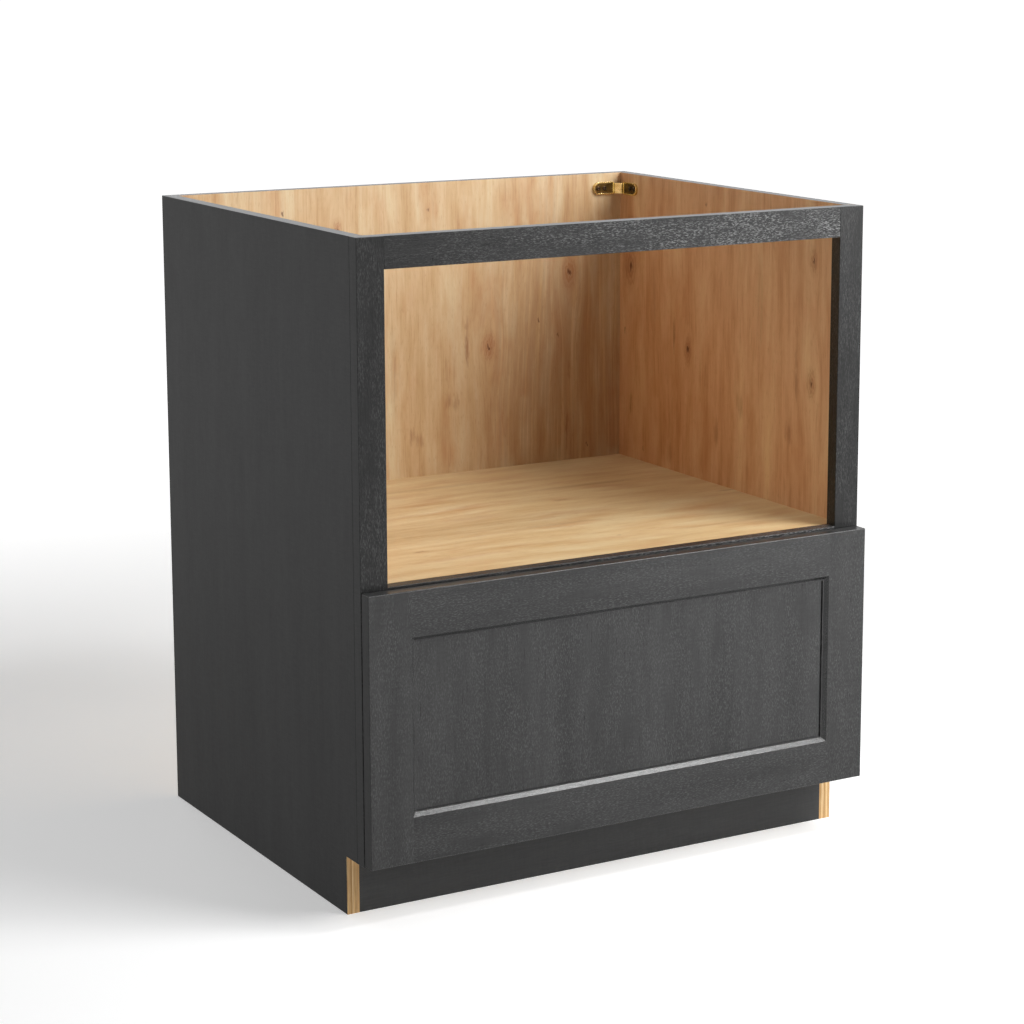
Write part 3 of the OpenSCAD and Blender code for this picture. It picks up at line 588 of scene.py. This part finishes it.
finishes = {
    "sideOutside": stainedMaple("stainedMapleSide", "Z", "side"),
    # the rims' paler tone is a painted sheen
    "rimLevel": stainedMaple("rimLevelPaintedSheen", "X", "rim"),
    "rimDeep": stainedMaple("rimDeepPaintedSheen", "Y", "rim"),
    "frameUpright": stainedMaple("stainedMapleStile", "Z", "stile"),
    "frameLevel": stainedMaple("stainedMapleRail", "X", "rail"),
    "drawerUpright": stainedMaple("stainedMapleFrontUpright", "Z", "drawer"),
    "drawerLevel": stainedMaple("stainedMapleFrontLevel", "X", "drawer"),
    "slopeUpright": stainedMaple("stainedMapleSlopeUpright", "Z", "slope"),
    "slopeLevel": stainedMaple("stainedMapleSlopeLevel", "X", "slope"),
    "toeFace": stainedMaple("stainedPlywoodToe", "X", "toe"),
    "backVeneer": naturalMaple("mapleVeneerBack", "back", "X", "Z"),
    "rightVeneer": naturalMaple("mapleVeneerRight", "rightSide", "Y", "Z"),
    "leftVeneer": naturalMaple("mapleVeneerLeft", "leftSide", "Y", "Z"),
    "floorVeneer": naturalMaple("mapleVeneerFloors", "floor", "Y", "X", shine=0.38),
    "boxFloor": naturalMaple("birchVeneerBoxFloor", "boxFloor", "Y", "X"),
    "sidePlies": plyEdge("plyEdgeSides", "X", "Z", sideInner),
    "backPlies": plyEdge("plyEdgeBack", "Y", "Z", backPanelY),
    "floorPlies": plyEdge("plyEdgeFloors", "Z", "X", nicheFloorZ),
    "boxSide": paleBirch("birchBoxSide", "Y"),
    "boxEnd": paleBirch("birchBoxEnd", "X"),
    "endGrainSide": paleBirch("birchEndGrainSide", "Y", endGrain=True),
    "endGrainEnd": paleBirch("birchEndGrainEnd", "X", endGrain=True),
    "dowel": paleBirch("beechDowel", "X"),
    # near-black at the rails' ends: painted shade standing in for the shadow in the joint gap
    "jointGapShade": newFinish("paintedJointShade", {"Base Color": toLinear("#070707"), "Roughness": 0.8})[0],
    "brass": platedMetal("antiqueBrassPlate", ("#c6a866", "#e4cd90"), 0.25),
    # the pan's dark tone is painted shade in the recess
    "brassPan": platedMetal("brassPanPaintedShade", ("#4c3a20", "#6e5630"), 0.4),
    "bronzed": platedMetal("bronzedSteel", ("#2c231b", "#4a3a2c"), 0.34),
    "zinc": platedMetal("zincPlatedSteel", ("#aeb1b5", "#c9ccd0"), 0.3),
    "screwZinc": platedMetal("zincScrewSteel", ("#a2a4a6", "#c0c2c4"), 0.28),
    "nylon": mouldedPlastic("nylonRoller", ("#dedbd2", "#ebe9e2"), 0.42),
    "greyPlastic": mouldedPlastic("greyPolypropylene", ("#c4c5c3", "#d2d3d1"), 0.48),
    "darkPlastic": mouldedPlastic("darkPolypropylene", ("#4a4d51", "#565a5e"), 0.5),
    "orangePlastic": mouldedPlastic("orangeAcetal", ("#cf6f1f", "#dd7f2f"), 0.4),
    "rubber": mouldedPlastic("clearRubber", ("#e6e6e0", "#efefea"), 0.22, {"Transmission Weight": 0.55}),
}
print("finishes mixed:", len(finishes))


def takeUp(piece):
    # makes a piece the only selected object, ready to edit
    if bpy.context.object and bpy.context.object.mode != "OBJECT":
        bpy.ops.object.mode_set(mode="OBJECT")
    bpy.ops.object.select_all(action="DESELECT")
    piece.select_set(True)
    bpy.context.view_layer.objects.active = piece


def weldedCopy(nodeName, pieceName):
    # own mesh of one CAD solid, its triangles merged into whole faces
    piece = bpy.data.objects.new(pieceName, cadNodes[nodeName].data.copy())
    bpy.context.collection.objects.link(piece)
    takeUp(piece)
    piece.data.materials.clear()
    bpy.ops.object.mode_set(mode="EDIT")
    bpy.ops.mesh.select_all(action="SELECT")
    bpy.ops.mesh.remove_doubles(threshold=0.01 * mm)
    bpy.ops.mesh.customdata_custom_splitnormals_clear()
    bpy.ops.mesh.dissolve_limited(angle_limit=math.radians(1))
    bpy.ops.object.mode_set(mode="OBJECT")
    bpy.ops.object.shade_flat()
    return piece


def easeEdges(piece, width, keeps=None, segments=3):
    # rounds over the sharp edges, or those of them whose two ends keeps() accepts
    takeUp(piece)
    bpy.ops.object.mode_set(mode="EDIT")
    bpy.ops.mesh.select_mode(type="EDGE")
    bpy.ops.mesh.select_all(action="DESELECT")
    bpy.ops.mesh.edges_select_sharp(sharpness=math.radians(30))
    bpy.ops.object.mode_set(mode="OBJECT")
    corners = piece.data.vertices
    kept = [edge for edge in piece.data.edges if edge.select and (
        keeps is None or keeps(corners[edge.vertices[0]].co, corners[edge.vertices[1]].co))]
    for part in (piece.data.polygons, piece.data.edges, corners):
        part.foreach_set("select", [False] * len(part))
    for edge in kept:
        edge.select = True
        for corner in edge.vertices:
            corners[corner].select = True
    bpy.ops.object.mode_set(mode="EDIT")
    bpy.ops.mesh.bevel(offset=width, segments=segments, affect="EDGES", clamp_overlap=True)
    bpy.ops.object.mode_set(mode="OBJECT")
    smoothTurns(piece)


def smoothTurns(piece):
    # round parts shade smooth while flat faces stay flat
    takeUp(piece)
    bpy.ops.object.shade_smooth_by_angle(angle=math.radians(40))
    bpy.ops.object.modifier_add(type="WEIGHTED_NORMAL")
    piece.modifiers[-1].keep_sharp = True
    bpy.ops.object.modifier_apply(modifier=piece.modifiers[-1].name)


def coatFaces(piece, names, pick=None):
    # gives each face the finish that pick(middle, normal) names, or all of them the first
    piece.data.materials.clear()
    for name in names:
        piece.data.materials.append(finishes[name])
    for face in piece.data.polygons:
        face.material_index = names.index(pick(face.center, face.normal)) if pick else 0


def mount(piece, body, slot, *nodes):
    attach(piece, body)
    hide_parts(*nodes)


def bothAt(a, b, axis, *places):
    # whether both ends of an edge lie in one of these planes across an axis
    return any(abs(a[axis] - place) < near and abs(b[axis] - place) < near for place in places)


carcassSettings = {"panelEase": 0.9 * mm, "frameEase": 0.9 * mm, "toeEase": 0.4 * mm}


def sidePanelPick(side, veneer):
    # the rim takes in the rounding at its edges
    def pick(middle, normal):
        if normal.z > 0.5 and middle.z > rimZ - 1.5 * mm:
            return "rimDeep"
        if normal.x * side > 0.3:
            return "sideOutside"
        return veneer if normal.x * side < -0.6 else "sidePlies"
    return pick


def backPick(middle, normal):
    if abs(normal.y) > 0.6:
        return "backVeneer"
    return "rimLevel" if normal.z > 0.5 and middle.z > rimZ - mm else "backPlies"


def outerPick(middle, normal, face):
    # on the front's boards: the outer sides match the side panels and the top takes the rims' paler tone, a
    # painted sheen as on theirs
    if normal.z > 0.7 and middle.z > rimZ - mm:
        return "rimLevel"
    return "sideOutside" if abs(normal.x) > 0.8 and abs(middle.x) > sideOuter - mm else face


def framePick(look):
    def pick(middle, normal):
        if look == "frameLevel" and abs(middle.x) > railHalf - mm:
            return "jointGapShade"     # a rail's ends, painted near-black as the shade of the joint's gap
        return outerPick(middle, normal, look)
    return pick


for side, word in ((-1, "Left"), (1, "Right")):
    veneer = word.lower() + "Veneer"
    panel = weldedCopy(word.lower() + "_side_panel", "sidePanel" + word)
    easeEdges(panel, carcassSettings["panelEase"], lambda a, b: bothAt(a, b, 0, -sideOuter, sideOuter))
    coatFaces(panel, ("sideOutside", veneer, "sidePlies", "rimDeep"), sidePanelPick(side, veneer))
    mount(panel, "cabinet", "side_panel_charcoal", word.lower() + "_side_panel")

backBoard = weldedCopy("back_panel", "backBoard")
coatFaces(backBoard, ("backVeneer", "rimLevel", "backPlies"), backPick)
mount(backBoard, "cabinet", "maple_plywood", "back_panel")

for nodeName, pieceName in (("niche_floor", "nicheFloorBoard"), ("bottom_panel", "bottomBoard")):
    board = weldedCopy(nodeName, pieceName)
    coatFaces(board, ("floorVeneer", "floorPlies"),
              lambda middle, normal: "floorVeneer" if abs(normal.z) > 0.6 else "floorPlies")
    mount(board, "cabinet", "maple_plywood", nodeName)

toeBoard = weldedCopy("toe_board", "toeBoard")
easeEdges(toeBoard, carcassSettings["toeEase"])
coatFaces(toeBoard, ("toeFace",))
mount(toeBoard, "cabinet", "toe_board_charcoal", "toe_board")

for nodeName, pieceName, look in (
        ("frame_left_stile", "frameStileLeft", "frameUpright"),
        ("frame_right_stile", "frameStileRight", "frameUpright"),
        ("frame_top_rail", "frameRailTop", "frameLevel"),
        ("frame_middle_rail", "frameRailMiddle", "frameLevel"),
        ("frame_bottom_rail", "frameRailBottom", "frameLevel")):
    member = weldedCopy(nodeName, pieceName)
    easeEdges(member, carcassSettings["frameEase"],
              lambda a, b: bothAt(a, b, 1, frameFrontY, frameBackY) or bothAt(a, b, 0, -sideOuter, sideOuter))
    coatFaces(member, (look, "sideOutside", "rimLevel", "jointGapShade"), framePick(look))
    mount(member, "cabinet", "frame_charcoal", nodeName)
cadNodes["frame_dowels"].material_slots[0].material = finishes["dowel"]   # hidden inside the joints
print("carcass and face frame dressed")


# Drawer front: five pieces, eased only round the outside so that the joints stay closed
drawerFrontSettings = {"ease": 1.2 * mm, "halfWidth": 0.3805, "lowZ": 0.0805, "highZ": 0.4345,
                       "faceY": -0.3148, "backY": -0.2958, "bumperEase": 0.5 * mm}


def roundTheFront(a, b):
    # true for the arrises of the whole drawer front, seen as one board
    front = drawerFrontSettings
    sides = (bothAt(a, b, 0, -front["halfWidth"], front["halfWidth"]),
             bothAt(a, b, 1, front["faceY"], front["backY"]),
             bothAt(a, b, 2, front["lowZ"], front["highZ"]))
    return sum(sides) >= 2


def drawerFrontPick(way):
    def pick(middle, normal):
        forward = -normal.y
        routedSlope = 0.4 < forward < 0.9
        topArris = normal.z > 0.15 and forward > 0.15
        if routedSlope or topArris:
            return "slope" + way     # these hold more lacquer and shine more
        return outerPick(middle, normal, "drawer" + way)
    return pick


for nodeName, pieceName, way in (
        ("drawer_left_stile", "drawerStileLeft", "Upright"),
        ("drawer_right_stile", "drawerStileRight", "Upright"),
        ("drawer_top_rail", "drawerRailTop", "Level"),
        ("drawer_bottom_rail", "drawerRailBottom", "Level"),
        ("drawer_panel", "drawerPanel", "Upright")):
    member = weldedCopy(nodeName, pieceName)
    if nodeName != "drawer_panel":
        easeEdges(member, drawerFrontSettings["ease"], roundTheFront)
    coatFaces(member, ("drawer" + way, "sideOutside", "rimLevel", "slope" + way), drawerFrontPick(way))
    mount(member, "drawer", "drawer_front_charcoal", nodeName)
bumpers = weldedCopy("drawer_bumpers", "drawerBumpers")
easeEdges(bumpers, drawerFrontSettings["bumperEase"], lambda a, b: bothAt(a, b, 1, frameFrontY))
coatFaces(bumpers, ("rubber",))
mount(bumpers, "drawer", "clear_rubber", "drawer_bumpers")
print("drawer front dressed")


# Drawer box of solid birch, its top edges eased
boxSettings = {"topZ": 0.384, "ease": 0.8 * mm}


def boxPick(look, endLook, endAxis):
    return lambda middle, normal: endLook if abs(normal[endAxis]) > 0.7 else look


for nodeName, pieceName, look, endLook, endAxis in (
        ("box_left_side", "boxSideLeft", "boxSide", "endGrainSide", 1),
        ("box_right_side", "boxSideRight", "boxSide", "endGrainSide", 1),
        ("box_front", "boxFront", "boxEnd", "endGrainEnd", 0),
        ("box_back", "boxBack", "boxEnd", "endGrainEnd", 0)):
    board = weldedCopy(nodeName, pieceName)
    easeEdges(board, boxSettings["ease"], lambda a, b: bothAt(a, b, 2, boxSettings["topZ"]))
    coatFaces(board, (look, endLook), boxPick(look, endLook, endAxis))
    mount(board, "drawer", "birch_box", nodeName)
boxFloorBoard = weldedCopy("box_bottom", "boxFloorBoard")
coatFaces(boxFloorBoard, ("boxFloor",))
mount(boxFloorBoard, "drawer", "birch_plywood", "box_bottom")
print("drawer box dressed")


# Corner brackets: pressed brass-plated legs with a raised rim round a pan darkened with painted shade
bracketSettings = {"ease": 0.35 * mm, "panDepth": 1.2 * mm, "middleZ": 0.8533, "holes": (0.0295, 0.0405),
                   "headTop": 3.0 * mm}


def bracketPick(middle, normal):
    # the pan's faces lie one sheet's thickness off the panel behind
    gaps = (backPanelY - middle.y, middle.y - frameBackY, sideInner - abs(middle.x))
    # the pan takes the darker finish, painted shade in its recess
    return "brassPan" if abs(min(gaps) - bracketSettings["panDepth"]) < 0.15 * mm else "brass"


for nodeName, pieceName in (
        ("front_left_bracket", "bracketFrontLeft"), ("front_right_bracket", "bracketFrontRight"),
        ("back_left_bracket", "bracketBackLeft"), ("back_right_bracket", "bracketBackRight")):
    bracket = weldedCopy(nodeName, pieceName)
    easeEdges(bracket, bracketSettings["ease"])
    coatFaces(bracket, ("brass", "brassPan"), bracketPick)
    mount(bracket, "cabinet", "brass_plated_steel", nodeName)
print("corner brackets dressed")


# Screws: heads rounded over and cut with a cross
screwSettings = {
    "arm": 0.62,             # half the cross's length, in head radii
    "slot": 0.24,            # half its width
    "depth": 1.1 * mm,
    "round": 0.8 * mm,
    "headReach": 6 * mm,     # a head's edge lies within this of the middle of its top
    "mostTurn": 1.5,         # radians that a cross may stand turned by
    # where the heads' tops are, on the right where there are two sides: x, y and z
    "front": ((-0.2414, 0, 0.2414), -0.2774, (0.20325, 0.32375)),
    "stile": (0.3398, -0.2853, (0.12465, 0.13225)),
    "rear": (0.3079, 0.2894, (0.1401, 0.16156)),
    "clip": (0.2654, (-0.2718, -0.2578), 0.1376),
}


def crossCutter(top, facing, radius, turn):
    # a plus-shaped bar: a cube whose four sides are pulled out
    half = radius * screwSettings["slot"]
    pull = radius * screwSettings["arm"] - half
    bpy.ops.mesh.primitive_cube_add(size=2, location=top)
    cutter = bpy.context.object
    cutter.scale = (half, half, screwSettings["depth"])
    turned = facing.to_track_quat("Z", "Y") @ Matrix.Rotation(turn, 3, "Z").to_quaternion()
    cutter.rotation_euler = turned.to_euler()
    bpy.ops.object.transform_apply(location=False, rotation=False, scale=True)
    bpy.context.tool_settings.mesh_select_mode = (False, False, True)   # faces, as selected below
    for face in cutter.data.polygons:
        face.select = abs(face.normal.z) < 0.5
    bpy.ops.object.mode_set(mode="EDIT")
    bpy.ops.mesh.extrude_faces_move(TRANSFORM_OT_shrink_fatten={"value": pull})
    bpy.ops.object.mode_set(mode="OBJECT")
    return cutter


def dressScrews(nodeName, pieceName, body, slot, finish, places, radius):
    # places are the middle of each head's top and the way it faces
    piece = weldedCopy(nodeName, pieceName)
    places = [(Vector(top), Vector(facing)) for top, facing in places]

    def onHead(a, b):
        return any(abs((a - top).dot(facing)) < near and abs((b - top).dot(facing)) < near
                   and (a - top).length < screwSettings["headReach"] for top, facing in places)

    easeEdges(piece, screwSettings["round"], onHead)
    dice = random.Random(nodeName)
    cutters = [crossCutter(top, facing, radius, dice.uniform(0, screwSettings["mostTurn"]))
               for top, facing in places]
    bpy.ops.object.select_all(action="DESELECT")
    for cutter in cutters:
        cutter.select_set(True)
    bpy.context.view_layer.objects.active = cutters[0]
    bpy.ops.object.join()
    crosses = bpy.context.object
    takeUp(piece)
    bpy.ops.object.modifier_add(type="BOOLEAN")
    piece.modifiers[-1].object = crosses
    bpy.ops.object.modifier_apply(modifier=piece.modifiers[-1].name)
    bpy.data.objects.remove(crosses)
    smoothTurns(piece)
    coatFaces(piece, (finish,))
    mount(piece, body, slot, nodeName)


bracketPlaces, slidePlaces, clipPlaces = [], [], []
headTop, middleZ = bracketSettings["headTop"], bracketSettings["middleZ"]
for side in (-1, 1):
    for wallY, into in ((backPanelY, -1), (frameBackY, 1)):
        for hole in bracketSettings["holes"]:
            bracketPlaces += [((side * (sideInner - hole), wallY + into * headTop, middleZ), (0, into, 0)),
                              ((side * (sideInner - headTop), wallY + into * hole, middleZ), (-side, 0, 0))]
    stileX, stileY, stileZs = screwSettings["stile"]
    slidePlaces += [((side * stileX, stileY, z), (-side, 0, 0)) for z in stileZs]
    rearX, rearY, rearZs = screwSettings["rear"]
    slidePlaces += [((side * rearX, rearY, z), (0, -1, 0)) for z in rearZs]
    clipX, clipYs, clipZ = screwSettings["clip"]
    clipPlaces += [((side * clipX, y, clipZ), (0, 0, -1)) for y in clipYs]
frontXs, frontY, frontZs = screwSettings["front"]
frontPlaces = [((x, frontY, z), (0, 1, 0)) for x in frontXs for z in frontZs]
for nodeName, pieceName, body, slot, finish, places, headRadius in (
        ("bracket_screws", "bracketScrews", "cabinet", "bronzed_screw", "bronzed", bracketPlaces, 3.3),
        ("drawer_front_screws", "drawerFrontScrews", "drawer", "zinc_screw", "screwZinc", frontPlaces, 4),
        ("slide_screws", "slideScrews", "cabinet", "zinc_screw", "screwZinc", slidePlaces, 3.5),
        ("clip_screws", "clipScrews", "drawer", "zinc_screw", "screwZinc", clipPlaces, 4)):
    dressScrews(nodeName, pieceName, body, slot, finish, places, headRadius * mm)
print("screws cut")


# Undermount slides: folded steel members, nylon rollers, moulded brackets, clips and levers
slideParts = {
    # end of the node's name: piece name, body with {} for left or right, slot, finish, ease in mm
    "cabinet_member": ("slideCabinetMember", "cabinet", "zinc_steel", "zinc", 0.25),
    "middle_member": ("slideMiddleMember", "{}_middle_slide", "zinc_steel", "zinc", 0.25),
    "drawer_member": ("slideDrawerMember", "drawer", "zinc_steel", "zinc", 0.25),
    "roller_cages": ("slideRollerCages", "{}_middle_slide", "nylon", "nylon", 0.2),
    "rear_bracket": ("slideRearBracket", "cabinet", "grey_plastic", "greyPlastic", 0.5),
    "clip_plate": ("slideClipPlate", "drawer", "dark_plastic", "darkPlastic", 0.4),
    "release_lever": ("slideReleaseLever", "{}_lever", "orange_plastic", "orangePlastic", 0.4),
}
for word in ("left", "right"):
    for nodeEnd, (pieceName, body, slot, finish, ease) in slideParts.items():
        part = weldedCopy(word + "_" + nodeEnd, pieceName + word.capitalize())
        easeEdges(part, ease * mm, segments=2)
        coatFaces(part, (finish,))
        mount(part, body.format(word), slot, word + "_" + nodeEnd)
print("slides dressed")
